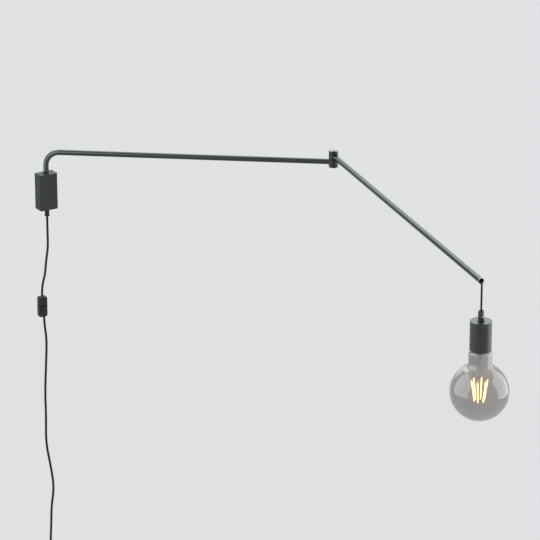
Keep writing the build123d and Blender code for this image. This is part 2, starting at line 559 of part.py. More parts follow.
# ---- Rocker: a round piece with a valley across its face, one half pressed in, on two trunnions ----
def switch_rocker():
    place = Pos(*switch_centre)
    face = switch_depth / 2 - rocker_pivot + rocker_proud
    high, low = face + rocker_ridge, face - 0.5
    barrel = block((-0.6, -rocker_radius, -rocker_radius), (high, rocker_radius, rocker_radius)) & (
        Rot(0, 90, 0) * Cylinder(rocker_radius, 2 * high))
    valley = Polyline(
        [(high, 0, rocker_radius), (low, 0, 0), (high, 0, -rocker_radius), (high + 2, 0, 0)], close=True)
    rocker = barrel - extrude(make_face(valley.edges()), amount=rocker_radius, both=True)
    rocker += Rot(90, 0, 0) * Cylinder(trunnion_radius, 2 * trunnion_half)
    middle = place * Pos(rocker_pivot, 0, -rocker_drop)
    nodes["switch_rocker"] = middle * Rot(0, rocker_tilt, 0) * rocker

    # the frame's ears carry the trunnions, and two contact strips lie on its floor
    floor, sheet, ear_y, ear_half = -2.6, 0.7, trunnion_half - 0.25, 1.9
    frame = block((floor, -5.6, -9.0), (floor + sheet, 5.6, 4.0))
    strips = []
    for side in (-1, 1):
        y = side * ear_y
        frame += block(
            (floor, y - sheet / 2, -rocker_drop - ear_half),
            (rocker_pivot + 1.3, y + sheet / 2, -rocker_drop + ear_half))
        foot, under = side * 3.0, floor + sheet
        strips.append(place * block((under, foot - 1.0, -8.4), (under + 0.4, foot + 1.0, 3.4)))
    frame -= Pos(rocker_pivot, 0, -rocker_drop) * Rot(90, 0, 0) * Cylinder(trunnion_hole, 20)
    nodes["switch_frame"] = place * frame
    nodes["switch_contacts"] = Compound(strips)


# ---- Free cords down the wall ----
def free_cord(name, route):
    """A cord's tube: an arc's radius is 0.45 of its shorter run over the tangent of half its turn."""
    points = [Vector(*p) for p in route]
    runs = [b - a for a, b in zip(points, points[1:])]
    radii = [
        0.45 * min(a.length, b.length) / math.tan(math.radians(a.get_angle(b)) / 2)
        for a, b in zip(runs, runs[1:])
    ]
    solid = swept(route, cord_radius, radii)
    length = FilletPolyline(route, radius=radii).length
    share = solid.volume / (math.pi * cord_radius ** 2 * length)
    print(name, "arc radii", [round(r) for r in radii])
    print(name, "length", round(length, 1), "volume share", round(share, 4))
    print(name, "every arc is over", smallest_bend, "mm:", min(radii) > smallest_bend)
    nodes[name] = solid


# ---- Coil: one unbroken tube of 8 turns in 4 layers, spiralling in and out, flat beside the wall ----
def cord_coil():
    start = Vector(*lower_route[-1])
    centre = Vector(start.X, start.Y + coil_outer, start.Z - 2 * cord_radius)
    turns = layer_count * layer_turns + (layer_count - 1) * climb_turns
    down = Vector(0, 0, -1)

    def point(turn):
        """A turn's radius falls and grows by one pitch a turn, and its layer rises by one in each climb."""
        radius, layer, left = coil_outer, 0.0, turn
        for k in range(layer_count):
            step = min(left, layer_turns)
            radius += coil_pitch * step * (-1 if k % 2 == 0 else 1)
            left -= step
            if k < layer_count - 1:
                climb = min(left, climb_turns) / climb_turns
                layer += climb * climb * (3 - 2 * climb)
                left -= climb * climb_turns
        angle = math.pi + 2 * math.pi * turn
        out = centre.X + layer * coil_pitch
        return Vector(out, centre.Y + radius * math.cos(angle), centre.Z + radius * math.sin(angle))

    def heading(turn):
        small = 1e-4
        return (point(min(turns, turn + small)) - point(max(0.0, turn - small))).normalized()

    quarters = 4 * round(turns)
    marks = [turns * k / quarters for k in range(quarters + 1)]
    spots = [point(t) for t in marks]
    ways = [down] + [heading(t) for t in marks[1:-1]] + [down]
    edges = [Line(start, spots[0])]
    for a, b, way_a, way_b in zip(spots, spots[1:], ways, ways[1:]):
        # biarc: both arcs leave their ends by the same length d
        v, t, c = b - a, way_a + way_b, 1 - way_a.dot(way_b)
        d = (-v.dot(t) + math.sqrt(v.dot(t) ** 2 + 2 * c * v.dot(v))) / (2 * c)
        joint = (a + b + (way_a - way_b) * d) * 0.5
        way = (b - way_b * d) - (a + way_a * d)
        edges += [TangentArc(a, joint, tangent=way_a), TangentArc(joint, b, tangent=way)]
    end = spots[-1] + down * (2 * cord_radius)
    edges.append(Line(spots[-1], end))
    path = Wire([e.edges()[0] for e in edges])
    nodes["cord_coil"] = sweep(Plane(origin=start, z_dir=down) * Circle(cord_radius), path=path)

    # least gap to itself, measured between points at least half a turn apart
    per_turn = 60
    count = per_turn * round(turns)
    line = [point(turns * k / count) for k in range(count + 1)]
    closest = min((p - q).length for i, p in enumerate(line) for q in line[i + per_turn // 2:])
    gap = closest - 2 * cord_radius
    print("coil turns", turns, "length", round(path.length, 1), "least gap to itself", round(gap, 2))
    coil_tie(start, centre)
    return end


def coil_tie(start, centre):
    """A band round all the turns at the top of the coil."""
    inner, outer = coil_outer - coil_pitch * layer_turns - cord_radius, coil_outer + cord_radius
    front = start.X + coil_pitch * (layer_count - 1) + cord_radius
    low = (start.X - cord_radius - tie_gap, centre.Z + inner - tie_gap)
    high = (front + tie_gap, centre.Z + outer + tie_gap)
    half, t = tie_width / 2, tie_thickness
    hole = block((low[0], centre.Y - half - 1, low[1]), (high[0], centre.Y + half + 1, high[1]))
    band = block((low[0] - t, centre.Y - half, low[1] - t), (high[0] + t, centre.Y + half, high[1] + t))
    band = fillet(band.edges().filter_by(Axis.Y), tie_corner + t)
    nodes["coil_tie"] = band - fillet(hole.edges().filter_by(Axis.Y), tie_corner)


# ---- Tail and two-pin plug, hanging under the coil ----
def plug(tail_top):
    x, y = tail_top.X, tail_top.Y
    top = tail_top.Z - coil_tail
    face = top - relief_length - plug_length
    nodes["plug_lead"] = rod(cord_radius, top, tail_top.Z, x, y)
    relief = [(0, top), (relief_radius, top)]
    for k in range(relief_ribs):
        z, wide = top - 1.5 - relief_rib_pitch * k, relief_radius + relief_rib_step * k
        relief += [(wide + 0.3, z), (wide + 0.6, z - 1.0), (wide, z - 1.2), (wide, z - 2.2)]
    collar = top - relief_length
    relief += [(4.4, collar), (4.4, collar - 3.0), (0, collar - 3.0)]
    sections = []
    for share, width, thick in (
        (0.0, plug_neck_width, plug_neck_thickness), (plug_shoulder, 31.0, 13.4),
        (1.0, plug_width, plug_thickness),
    ):
        height = face + plug_length * (1 - share)
        sections.append(Plane.XY.offset(height) * RectangleRounded(thick, width, plug_corner))
    body = Pos(x, y, 0) * (loft(sections, ruled=True) + turned(relief))
    pins, sleeves = [], []
    sleeve_end, round_end = face - pin_sleeve, face - pin_length + pin_radius
    for side in (-1, 1):
        at_y = y + side * pin_spacing / 2
        pin = rod(pin_core, sleeve_end, face + pin_root, x, at_y)
        pin += rod(pin_radius, round_end, sleeve_end, x, at_y)
        pin += Pos(x, at_y, round_end) * Sphere(pin_radius)
        pins.append(pin)
        sleeves.append(pipe(pin_radius, pin_core, sleeve_end, face, x, at_y))
        body -= rod(pin_core, face - 1, face + pin_root, x, at_y)
    nodes["plug_body"] = body
    nodes["plug_pins"] = Compound(pins)
    nodes["pin_sleeves"] = Compound(sleeves)


wall_plate()
box_cover()
wall_swivel()
terminals()
cord_gland()
inner_arm()
elbow_joint()
outer_arm()
pendant_flex()
cord_grip()
holder_shell()
socket()
bulb_cap()
bulb_glass()
bulb_stem()
filament_cage()
switch_shells()
switch_rocker()
free_cord("wall_cord_upper", upper_route)
free_cord("wall_cord_lower", lower_route)
plug(cord_coil())

os.makedirs("parts", exist_ok=True)
for name, shape in nodes.items():
    export_step(shape, f"parts/{name}.step")
print(len(nodes), "nodes")
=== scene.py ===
import bpy
import numpy as np
from math import atan2, cos, pi, radians, sin, sqrt, tan
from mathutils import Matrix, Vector


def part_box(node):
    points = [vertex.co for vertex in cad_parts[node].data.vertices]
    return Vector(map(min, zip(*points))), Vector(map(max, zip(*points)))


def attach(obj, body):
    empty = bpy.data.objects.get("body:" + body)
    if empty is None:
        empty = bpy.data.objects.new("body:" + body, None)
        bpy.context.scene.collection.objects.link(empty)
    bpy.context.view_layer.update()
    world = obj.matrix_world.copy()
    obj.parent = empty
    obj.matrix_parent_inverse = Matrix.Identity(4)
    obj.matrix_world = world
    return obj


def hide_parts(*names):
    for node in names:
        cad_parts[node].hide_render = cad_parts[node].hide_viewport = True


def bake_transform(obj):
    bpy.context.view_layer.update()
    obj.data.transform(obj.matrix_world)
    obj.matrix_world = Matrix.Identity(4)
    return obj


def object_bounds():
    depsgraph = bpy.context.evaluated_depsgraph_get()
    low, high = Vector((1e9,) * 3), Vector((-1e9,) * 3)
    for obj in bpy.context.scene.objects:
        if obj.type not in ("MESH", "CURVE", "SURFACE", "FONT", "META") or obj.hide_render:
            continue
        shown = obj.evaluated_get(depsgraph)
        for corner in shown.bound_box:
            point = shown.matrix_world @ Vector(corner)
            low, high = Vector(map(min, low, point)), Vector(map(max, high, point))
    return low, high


# Articulating wall lamp. Shapes are worked out in millimetres and written into the meshes in metres.
mm = 0.001
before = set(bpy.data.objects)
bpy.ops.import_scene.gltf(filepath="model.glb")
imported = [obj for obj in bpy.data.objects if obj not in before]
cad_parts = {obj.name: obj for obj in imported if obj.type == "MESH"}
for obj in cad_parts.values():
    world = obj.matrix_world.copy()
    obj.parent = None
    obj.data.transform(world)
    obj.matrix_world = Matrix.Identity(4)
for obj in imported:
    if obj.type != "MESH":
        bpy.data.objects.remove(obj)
cadBox = [[float(value) for value in corner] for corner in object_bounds()]
print("frame loaded:", len(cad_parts), "nodes")


# Where things are, read from the frame.
def span(node):
    low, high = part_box(node)
    return np.array(low) / mm, np.array(high) / mm


def axisOf(node):
    low, high = span(node)
    return (low + high)[:2] / 2  # the middle of a turned node's box


swivelAxis, elbowAxis, pendantAxis = axisOf("swivel_bush"), axisOf("elbow_cap"), axisOf("holder_shell")


def heading(start, end):
    way = end - start
    return np.append(way / np.linalg.norm(way), 0.0)  # level unit vector from one axis to the next


innerWay, outerWay = heading(swivelAxis, elbowAxis), heading(elbowAxis, pendantAxis)
up = np.array([0.0, 0.0, 1.0])


# Shapes as whole arrays.
# Corners (a, b, radius): an arc that touches both sides takes each corner's place.
# It starts radius / tan(half the angle) along each side, and its centre lies on the corner's bisector.
# Two more points hold each long side straight, so that its shading stays flat.
def roundedLine(corners, closed=False, steps=8, hold=0.25):
    points = np.array([corner[:2] for corner in corners], float)
    count, line = len(points), []
    for k, corner in enumerate(corners):
        here, radius = points[k], corner[2] if len(corner) > 2 else 0.0
        if radius == 0.0 or (not closed and k in (0, count - 1)):
            line.append(here[None])
            continue
        back, ahead = points[k - 1] - here, points[(k + 1) % count] - here
        back, ahead = back / np.linalg.norm(back), ahead / np.linalg.norm(ahead)
        half = np.arccos(np.clip(back @ ahead, -1, 1)) / 2
        middle = here + (back + ahead) / np.linalg.norm(back + ahead) * radius / sin(half)
        first, last = here + back * radius / tan(half) - middle, here + ahead * radius / tan(half) - middle
        begin = atan2(first[1], first[0])
        turn = (atan2(last[1], last[0]) - begin + pi) % (2 * pi) - pi
        angle = begin + turn * np.linspace(0, 1, steps + 1)
        line.append(middle + radius * np.stack([np.cos(angle), np.sin(angle)], 1))
    line = np.concatenate(line)
    after = np.roll(line, -1, axis=0) if closed else line[1:]
    before = line if closed else line[:-1]
    length = np.linalg.norm(after - before, axis=1)
    share = np.where(length > 4 * hold, hold / np.maximum(length, 1e-9), 0.5)[:, None]
    near, far = before + (after - before) * share, after - (after - before) * share
    rows = np.stack([before, near, far], 1)
    keep = np.stack([np.ones(len(length), bool), length > 4 * hold, length > 4 * hold], 1)
    result = rows[keep]
    return result if closed else np.concatenate([result, line[-1:]])


# Each face joins two neighbours in a row to the same two in the next row.
def gridFaces(rows, columns, closedRows=False):
    row, column = np.meshgrid(np.arange(rows if closedRows else rows - 1), np.arange(columns), indexing="ij")
    nextRow, nextColumn = (row + 1) % rows, (column + 1) % columns
    corners = [row * columns + column, row * columns + nextColumn,
               nextRow * columns + nextColumn, nextRow * columns + column]
    return np.stack(corners, -1).reshape(-1, 4)


# Points on one spot become one, so a ring of no radius is a pole, and its faces are triangles.
def welded(points, faces):
    keys = np.round(points * 1e4).astype(np.int64)
    _, first, same = np.unique(keys, axis=0, return_index=True, return_inverse=True)
    faces = same.reshape(-1)[faces]
    repeated = faces == np.roll(faces, 1, axis=1)
    whole, cut = faces[repeated.sum(1) == 0], repeated.sum(1) == 1
    triangles = faces[cut][~repeated[cut]].reshape(-1, 3)
    return points[first], whole.tolist() + triangles.tolist()


# One mesh from grids (points as rows x columns x 3 in millimetres, closed rows or not).
def meshPiece(name, grids, sharp=40.0):
    points, faces, start = [], [], 0
    for grid, closedRows in grids:
        spots, sides = welded(grid.reshape(-1, 3), gridFaces(*grid.shape[:2], closedRows))
        faces += [[corner + start for corner in side] for side in sides]
        points.append(spots)
        start += len(spots)
    mesh = bpy.data.meshes.new(name)
    mesh.from_pydata((np.concatenate(points) * mm).tolist(), [], faces)
    mesh.polygons.foreach_set("use_smooth", np.ones(len(mesh.polygons), bool))
    mesh.set_sharp_from_angle(angle=radians(sharp))
    mesh.update()
    piece = bpy.data.objects.new(name, mesh)
    bpy.context.scene.collection.objects.link(piece)
    return piece


# A half section (radius, height) turned about an axis: origin + height * axis + radius * ring direction.
# The section runs with the solid on its left.
def turned(profile, origin, way=up, around=96):
    side = np.array([1.0, 0.0, 0.0]) if way is up else np.array([-way[1], way[0], 0.0])
    third = np.cross(way, side)
    angle = np.linspace(0, 2 * pi, around, endpoint=False)
    ring = np.cos(angle)[:, None] * side + np.sin(angle)[:, None] * third
    radius, height = profile[:, 0, None, None], profile[:, 1, None, None]
    return np.asarray(origin, float) + height * way + radius * ring[None]


# A ring square to a flat path at each point: path + radius * (cos * normal + sin * sideways),
# where the normal is sideways x tangent.
def ringsAlong(path, sideways, radius, around=32):
    step = np.diff(path, axis=0)
    step /= np.linalg.norm(step, axis=1)[:, None]
    tangent = np.concatenate([step[:1], step[:-1] + step[1:], step[-1:]])
    tangent /= np.linalg.norm(tangent, axis=1)[:, None]
    normal = np.cross(sideways, tangent)
    angle = np.linspace(0, 2 * pi, around, endpoint=False)
    radius = np.broadcast_to(radius, len(path))[:, None, None]
    ring = np.cos(angle)[None, :, None] * normal[:, None] + np.sin(angle)[None, :, None] * sideways
    return path[:, None] + radius * ring


# A ring of no radius at each end closes the tube.
def capped(rows):
    first, last = rows[:1].mean(axis=1, keepdims=True), rows[-1:].mean(axis=1, keepdims=True)
    around = rows.shape[1]
    return np.concatenate([np.repeat(first, around, 1), rows, np.repeat(last, around, 1)])


# A rectangle's outline, counter-clockwise, with arcs for corners.
def roundedRectangle(halfWide, halfTall, radius, steps=8):
    corners = [(-halfWide, -halfTall, radius), (halfWide, -halfTall, radius),
               (halfWide, halfTall, radius), (-halfWide, halfTall, radius)]
    return roundedLine(corners, closed=True, steps=steps)


# A line of (distance, height) stood up in the level direction way.
def inPlane(line, origin, way):
    return np.append(origin, 0.0) + line[:, :1] * way + line[:, 1:] * up


# Finishes: every one is a small node tree on Object coordinates.
finishes = {}


def newFinish(name):
    material = bpy.data.materials.new(name)
    material.use_nodes = True
    finishes[name] = material
    tree = material.node_tree
    place = tree.nodes.new("ShaderNodeTexCoord")
    return tree, tree.nodes["Principled BSDF"], place.outputs["Object"]


def setSockets(shader, sockets):
    for socket, value in sockets.items():
        shader.inputs[socket].default_value = value


def noise(tree, place, scale, detail=3.0, stretch=(1, 1, 1)):
    mapping = tree.nodes.new("ShaderNodeMapping")
    mapping.inputs["Scale"].default_value = stretch
    tree.links.new(place, mapping.inputs["Vector"])
    texture = tree.nodes.new("ShaderNodeTexNoise")
    texture.inputs["Scale"].default_value = scale
    texture.inputs["Detail"].default_value = detail
    tree.links.new(mapping.outputs["Vector"], texture.inputs["Vector"])
    return texture.outputs["Fac"]


def twoColours(tree, factor, dark, light, low=0.35, high=0.65):
    ramp = tree.nodes.new("ShaderNodeValToRGB")
    first, last = ramp.color_ramp.elements
    first.position, first.color = low, (*dark, 1.0)
    last.position, last.color = high, (*light, 1.0)
    tree.links.new(factor, ramp.inputs["Fac"])
    return ramp.outputs["Color"]


def between(tree, factor, low, high):
    remap = tree.nodes.new("ShaderNodeMapRange")
    remap.inputs["From Min"].default_value, remap.inputs["From Max"].default_value = 0.3, 0.7
    remap.inputs["To Min"].default_value, remap.inputs["To Max"].default_value = low, high
    tree.links.new(factor, remap.inputs["Value"])
    return remap.outputs["Result"]


def raised(tree, height, depth):
    bump = tree.nodes.new("ShaderNodeBump")
    bump.inputs["Strength"].default_value = 1.0
    bump.inputs["Distance"].default_value = depth
    tree.links.new(height, bump.inputs["Height"])
    return bump.outputs["Normal"]


# Broad noise moves the colour, a middle one the roughness, and a fine one is the grain's height.
def surfaceFinish(name, look):
    tree, shader, place = newFinish(name)
    stretch = look.get("stretch", (1, 1, 1))
    broad = noise(tree, place, look["patch"], 2.0)
    middle = noise(tree, place, look["patch"] * 4, 3.0, stretch)
    fine = noise(tree, place, look["grain"], 2.0, stretch)
    tree.links.new(twoColours(tree, broad, look["dark"], look["light"]), shader.inputs["Base Color"])
    tree.links.new(between(tree, middle, *look["rough"]), shader.inputs["Roughness"])
    tree.links.new(raised(tree, fine, look["depth"]), shader.inputs["Normal"])
    setSockets(shader, look.get("sockets", {}))


# Patch and grain are waves per metre, depth is the grain's height in metres.
surfaceLooks = {
    "blackened_steel": {
        "dark": (0.054, 0.0595, 0.0585), "light": (0.061, 0.067, 0.0655), "rough": (0.145, 0.17),
        "patch": 14, "grain": 500, "depth": 0.000003,
        "sockets": {"Metallic": 1.0, "Specular Tint": (0.8, 0.84, 0.84, 1.0)}},
    "matte_black_paint": {
        "dark": (0.0085, 0.0092, 0.009), "light": (0.0125, 0.0135, 0.0132), "rough": (0.33, 0.38),
        "patch": 40, "grain": 2200, "depth": 0.00001, "sockets": {"IOR": 1.42}},
    "satin_box_paint": {
        "dark": (0.022, 0.0248, 0.024), "light": (0.033, 0.0366, 0.0352), "rough": (0.48, 0.58),
        "patch": 32, "grain": 1500, "depth": 0.00003, "sockets": {"IOR": 1.32}},
    "satin_black_holder": {
        "dark": (0.0155, 0.0182, 0.0182), "light": (0.0205, 0.0238, 0.0236), "rough": (0.27, 0.32),
        "patch": 50, "grain": 1700, "depth": 0.00001, "sockets": {"IOR": 1.52}},
    "black_gloss_grip": {
        "dark": (0.006, 0.0065, 0.007), "light": (0.011, 0.0118, 0.0122), "rough": (0.08, 0.14),
        "patch": 90, "grain": 1200, "depth": 0.00001, "sockets": {"IOR": 1.6, "Coat Weight": 0.3}},
    "polished_chrome": {
        "dark": (0.2, 0.203, 0.206), "light": (0.27, 0.274, 0.278), "rough": (0.06, 0.12),
        "patch": 150, "grain": 2600, "depth": 0.000004, "sockets": {"Metallic": 1.0}},
    "machined_steel": {
        "dark": (0.32, 0.32, 0.325), "light": (0.46, 0.46, 0.46), "rough": (0.24, 0.38),
        "patch": 200, "grain": 3000, "depth": 0.00001, "stretch": (1, 1, 0.1), "sockets": {"Metallic": 1.0}},
    "zinc_steel": {
        "dark": (0.42, 0.43, 0.45), "light": (0.58, 0.59, 0.6), "rough": (0.32, 0.5),
        "patch": 120, "grain": 1400, "depth": 0.00002, "sockets": {"Metallic": 1.0}},
    "brass_parts": {
        "dark": (0.48, 0.33, 0.12), "light": (0.66, 0.47, 0.2), "rough": (0.24, 0.4),
        "patch": 160, "grain": 1800, "depth": 0.00001, "sockets": {"Metallic": 1.0}},
    "nickel_pins": {
        "dark": (0.5, 0.49, 0.46), "light": (0.64, 0.63, 0.6), "rough": (0.16, 0.28),
        "patch": 180, "grain": 2400, "depth": 0.00001, "stretch": (1, 1, 0.15), "sockets": {"Metallic": 1.0}},
    "filament_wire": {
        "dark": (0.42, 0.32, 0.27), "light": (0.62, 0.5, 0.42), "rough": (0.22, 0.34),
        "patch": 260, "grain": 2400, "depth": 0.000005, "sockets": {"Metallic": 1.0}},
    "dark_bearing_plastic": {
        "dark": (0.012, 0.012, 0.0125), "light": (0.019, 0.019, 0.0195), "rough": (0.34, 0.44),
        "patch": 90, "grain": 1600, "depth": 0.00002},
    "heat_proof_plastic": {
        "dark": (0.014, 0.013, 0.0125), "light": (0.022, 0.021, 0.02), "rough": (0.42, 0.55),
        "patch": 80, "grain": 1300, "depth": 0.00004},
    "black_glass_insulator": {
        "dark": (0.006, 0.006, 0.009), "light": (0.012, 0.012, 0.016), "rough": (0.08, 0.16),
        "patch": 120, "grain": 800, "depth": 0.00002},
    "black_moulded_plastic": {
        "dark": (0.0085, 0.0092, 0.0094), "light": (0.0145, 0.0155, 0.0157), "rough": (0.42, 0.52),
        "patch": 70, "grain": 2400, "depth": 0.00003, "sockets": {"IOR": 1.33}},
    "rocker_plastic": {
        "dark": (0.006, 0.0064, 0.0066), "light": (0.01, 0.0106, 0.0108), "rough": (0.24, 0.32),
        "patch": 110, "grain": 2000, "depth": 0.00002, "sockets": {"IOR": 1.4}},
    "black_cord_jacket": {
        "dark": (0.005, 0.0054, 0.0056), "light": (0.0095, 0.0101, 0.0104), "rough": (0.42, 0.52),
        "patch": 55, "grain": 1100, "depth": 0.00004, "sockets": {"IOR": 1.3}},
    "core_insulation": {
        "dark": (0.33, 0.33, 0.32), "light": (0.45, 0.45, 0.44), "rough": (0.34, 0.46),
        "patch": 90, "grain": 1200, "depth": 0.00002},
    "tie_rubber": {
        "dark": (0.015, 0.0155, 0.016), "light": (0.024, 0.0248, 0.025), "rough": (0.55, 0.7),
        "patch": 80, "grain": 1800, "depth": 0.00006, "sockets": {"Sheen Weight": 0.12}},
}
for slotName, look in surfaceLooks.items():
    surfaceFinish(slotName, look)


# Tinted glass: noises move the tint, the roughness and the surface a little.
# Shadow rays pass through a see-through shader.
def glassFinish(name, look):
    tree, shader, place = newFinish(name)
    broad, fine = noise(tree, place, look["patch"], 1.0), noise(tree, place, look["grain"], 1.0)
    wave = noise(tree, place, look["wave"], 0.0)
    tree.links.new(twoColours(tree, broad, look["dark"], look["light"]), shader.inputs["Base Color"])
    tree.links.new(between(tree, fine, *look["rough"]), shader.inputs["Roughness"])
    tree.links.new(raised(tree, wave, look["depth"]), shader.inputs["Normal"])
    setSockets(shader, {"Transmission Weight": 1.0 - look["scatter"], "IOR": look["ior"],
                        "Specular IOR Level": look["mirror"]})
    clear = tree.nodes.new("ShaderNodeBsdfTransparent")
    clear.inputs["Color"].default_value = (*look["shadow"], 1.0)
    rays = tree.nodes.new("ShaderNodeLightPath")
    mix = tree.nodes.new("ShaderNodeMixShader")
    tree.links.new(rays.outputs["Is Shadow Ray"], mix.inputs["Fac"])
    tree.links.new(shader.outputs["BSDF"], mix.inputs[1])
    tree.links.new(clear.outputs["BSDF"], mix.inputs[2])
    tree.links.new(mix.outputs["Shader"], tree.nodes["Material Output"].inputs["Surface"])


glassLooks = {
    "smoked_glass": {
        "dark": (0.56, 0.55, 0.54), "light": (0.62, 0.612, 0.605), "rough": (0.0, 0.012), "ior": 1.62,
        "patch": 18, "grain": 60, "wave": 24, "depth": 0.00012, "shadow": (0.76, 0.76, 0.76),
        "scatter": 0.08, "mirror": 1.0},
    "clear_stem_glass": {
        "dark": (0.9, 0.91, 0.9), "light": (0.96, 0.97, 0.96), "rough": (0.0, 0.02), "ior": 1.5,
        "patch": 60, "grain": 200, "wave": 160, "depth": 0.0001, "shadow": (0.95, 0.95, 0.95),
        "scatter": 0.16, "mirror": 0.7},
}
for slotName, look in glassLooks.items():
    glassFinish(slotName, look)

glowLook = {"dark": (1.0, 0.4, 0.09), "light": (1.0, 0.56, 0.2), "grain": 420, "strength": 11.0,
            "base": (0.75, 0.42, 0.16, 1.0), "rough": (0.4, 0.6)}


# Glowing phosphor: fine noise moves the glow between two ambers.
def glowFinish(name, look):
    tree, shader, place = newFinish(name)
    fine = noise(tree, place, look["grain"], 2.0)
    tree.links.new(twoColours(tree, fine, look["dark"], look["light"]), shader.inputs["Emission Color"])
    tree.links.new(between(tree, fine, *look["rough"]), shader.inputs["Roughness"])
    setSockets(shader, {"Base Color": look["base"], "Emission Strength": look["strength"]})


glowFinish("filament_phosphor", glowLook)

# Every CAD node takes the finish that its slot is named for.
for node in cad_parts.values():
    slotName = node.material_slots[0].material.name.split(".")[0]
    for materialSlot in node.material_slots:
        materialSlot.link = "OBJECT"
        materialSlot.material = finishes[slotName]
print("finishes made:", len(finishes))


# The piece takes its slot's finish, moves with its body and stands for CAD nodes.
def settle(piece, body, slotName, *replaced):
    piece.data.materials.append(finishes[slotName])
    if body:
        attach(piece, body)
    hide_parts(*replaced)
    return piece


# Camera, at the photograph's place.
camera = {"place": (5.24918, -2.620957, 2.024374), "yaw": 149.62, "down": 20.38, "pixels": 3558.76,
          "frame": 540, "sensor": 36.0, "farthest": 400.0}


def placeCamera(values):
    lens = bpy.data.cameras.new("camera")
    lens.sensor_width = values["sensor"]
    lens.lens = values["pixels"] / values["frame"] * lens.sensor_width
    lens.clip_end = values["farthest"]
    eye = bpy.data.objects.new("camera", lens)
    eye.location = values["place"]
    eye.rotation_euler = (radians(90 - values["down"]), 0.0, radians(values["yaw"] - 90))
    bpy.context.scene.collection.objects.link(eye)
    bpy.context.scene.camera = eye


placeCamera(camera)

# Cords, in metres.
upperRoute = [
    (0.0105, 0.0, -0.0465), (0.0105, 0.0, -0.078), (0.0106, 0.0003, -0.104), (0.0103, -0.0043, -0.131),
    (0.0102, -0.0062, -0.153), (0.0105, -0.0134, -0.175), (0.0105, -0.0134, -0.1932),
]
lowerRoute = [
    (0.0105, -0.0104, -0.2312), (0.0105, -0.0104, -0.246), (0.0107, -0.0064, -0.275),
    (0.0106, -0.0088, -0.322), (0.0104, -0.012, -0.375), (0.0106, -0.0112, -0.425),
    (0.0104, -0.0128, -0.472), (0.0102, -0.005, -0.515), (0.0101, 0.0018, -0.562),
    (0.0092, -0.0039, -0.598), (0.007, -0.0043, -0.636), (0.005, -0.0054, -0.672), (0.005, -0.0054, -0.704),
]
cordValues = {"radius": 0.002, "upperLength": 0.148, "lowerLength": 1.63, "tail": 0.041,
              "tailShares": (0.3, 0.65, 1.0), "bevelSteps": 6, "lineSteps": 10, "order": 3}
coil = {"pitch": 0.00515, "outer": 0.0266, "layerTurns": 1.625, "layers": 4, "climb": 0.5, "perTurn": 16}


# A turn's radius falls and grows by one pitch a turn, in layers that climb by one pitch in half a turn:
# centre + layer * pitch along X + radius * (cos, sin) in the YZ plane.
def coilPoints(values, start):
    turns = values["layers"] * values["layerTurns"] + (values["layers"] - 1) * values["climb"]
    turn = np.arange(1, round(turns * values["perTurn"]) + 1) / values["perTurn"]
    block = values["layerTurns"] + values["climb"]
    layer = np.minimum(turn // block, values["layers"] - 1)
    inLayer = turn - layer * block
    climb = np.clip((inLayer - values["layerTurns"]) / values["climb"], 0, 1)
    climb = climb * climb * (3 - 2 * climb)
    inward = np.minimum(inLayer, values["layerTurns"])
    shrink = np.where(layer % 2 == 0, inward, values["layerTurns"] - inward)
    radius = values["outer"] - values["pitch"] * shrink
    angle = pi + 2 * pi * turn
    centre = np.array(start) + (0, values["outer"], -2 * cordValues["radius"])
    return np.stack([
        centre[0] + (layer + climb) * values["pitch"],
        centre[1] + radius * np.cos(angle), centre[2] + radius * np.sin(angle)], 1)


# A round cord whose line is one NURBS spline with the route's points as control points.
def cordCurve(name, route):
    curve = bpy.data.curves.new(name, "CURVE")
    curve.dimensions = "3D"
    curve.bevel_depth = cordValues["radius"]
    curve.bevel_resolution = cordValues["bevelSteps"]
    curve.resolution_u = curve.render_resolution_u = cordValues["lineSteps"]
    curve.use_fill_caps = True
    spline = curve.splines.new("NURBS")
    spline.points.add(len(route) - 1)
    spline.points.foreach_set("co", np.column_stack([route, np.ones(len(route))]).ravel())
    spline.order_u = cordValues["order"]
    spline.use_endpoint_u = True
    piece = bpy.data.objects.new(name, curve)
    bpy.context.scene.collection.objects.link(piece)
    return piece


coilRoute = coilPoints(coil, lowerRoute[-1])
tailRoute = [coilRoute[-1] - (0, 0, cordValues["tail"] * share) for share in cordValues["tailShares"]]
upperCord = cordCurve("wallCordUpper", np.array(upperRoute))
settle(upperCord, "root", "black_cord_jacket", "wall_cord_upper")
lowerCord = cordCurve("wallCordLower", np.concatenate([lowerRoute, coilRoute, tailRoute]))
settle(lowerCord, "root", "black_cord_jacket", "wall_cord_lower", "cord_coil", "plug_lead")
print("cords made, coil points:", len(coilRoute))

# Strain relief under the wall box.
gland = {"radius": 4.3, "neck": 3.9, "flange": 5.2, "flangeHeight": 1.0, "out": 14.0, "bore": 2.0,
         "bead": 4.4, "beadHeight": 2.3, "waist": 4.05, "waistHeight": 3.4, "clip": 5.4, "clipHeight": 1.2,
         "clipSlope": 0.4, "endWall": 2.5, "tail": 2.9, "in": 9.0}


# Turned about the swivel axis: flange on the box, slow taper, round bead at the lip, snap ring inside.
def cordGland(values):
    bottom = span("box_cover")[0][2]
    lip, inner, under = bottom - values["out"], bottom + values["endWall"], bottom - values["flangeHeight"]
    clipTop, top = inner + values["clipHeight"], inner + values["in"]
    profile = roundedLine([
        (values["bore"], lip, 0.5), (values["bead"], lip, 1.1),
        (values["bead"], lip + values["beadHeight"], 0.8),
        (values["waist"], lip + values["waistHeight"], 1.5), (values["radius"], under, 0.25),
        (values["flange"], under, 0.35), (values["flange"], bottom), (values["neck"], bottom),
        (values["neck"], inner), (values["clip"], inner, 0.15), (values["clip"], clipTop, 0.15),
        (values["neck"], clipTop + values["clipSlope"]), (values["tail"], top, 0.3), (values["bore"], top),
    ], closed=True, steps=6)
    piece = meshPiece("cordGland", [(turned(profile, (*swivelAxis, 0.0), around=64), True)])
    return settle(piece, "root", "black_moulded_plastic", "cord_gland")


